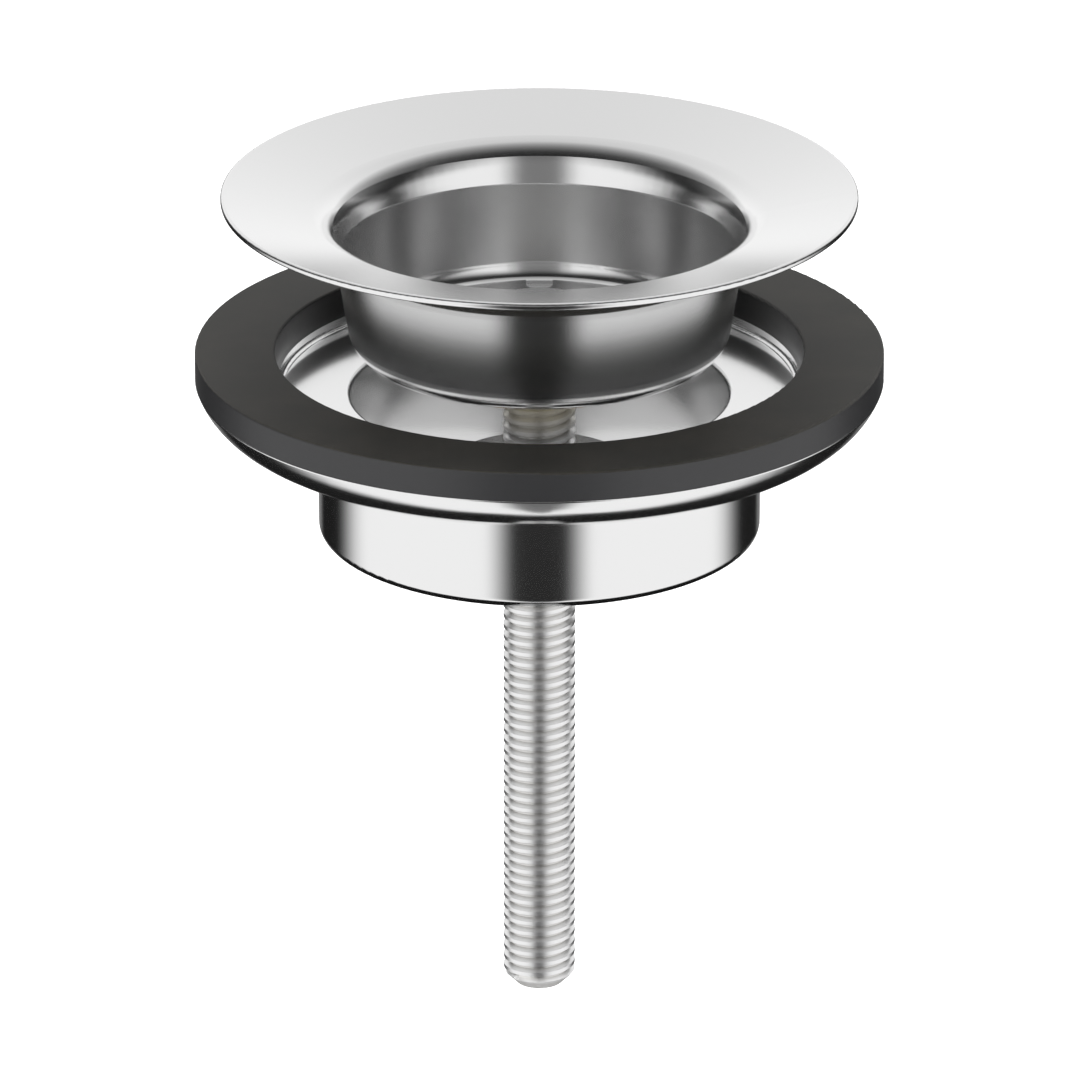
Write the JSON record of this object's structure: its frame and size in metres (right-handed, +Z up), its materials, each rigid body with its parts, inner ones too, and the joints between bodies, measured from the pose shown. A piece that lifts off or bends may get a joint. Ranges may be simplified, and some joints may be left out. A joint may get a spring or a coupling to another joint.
{
  "type": "basin waste",
  "caption": "grated basin waste: flanged strainer cup, long centre screw, rubber gasket and cast lower body with a short collar",
  "frame": {"origin": "on the waste's axis, level with the underside of the flange's rim, where it meets the basin", "axes": "+Z up along the waste's axis, out of the drain; X and Y level, with slots of the grate along both"},
  "size_m": [0.076, 0.076, 0.0941],
  "materials": {
    "stainless": "polished",
    "screw_steel": "bright, machined",
    "gasket_rubber": "matt, moulded",
    "polished_casting": "mirror polished",
    "bush_brass": "turned"
  },
  "bodies": {
    "strainer": {"strainer": "stainless"},
    "screw": {"centre_screw": "screw_steel"},
    "tail": {"lower_body": "polished_casting", "rubber_gasket": "gasket_rubber", "threaded_bush": "bush_brass"}
  },
  "joints": [
    {"name": "screw_turn", "type": "hinge", "parent": "strainer", "child": "screw", "pos_m": [0, 0, 0], "axis": [0, 0, 1], "range_deg": [-1814.6, 15264.2]},
    {"name": "tail_lift", "type": "slide", "parent": "strainer", "child": "tail", "axis": [0, 0, 1], "range_m": [-0.053, 0.0063]}
  ],
  "couplings": [
    {"joint": "screw_turn", "follows": "tail_lift", "rad_per_m": -5026.5}
  ]
}
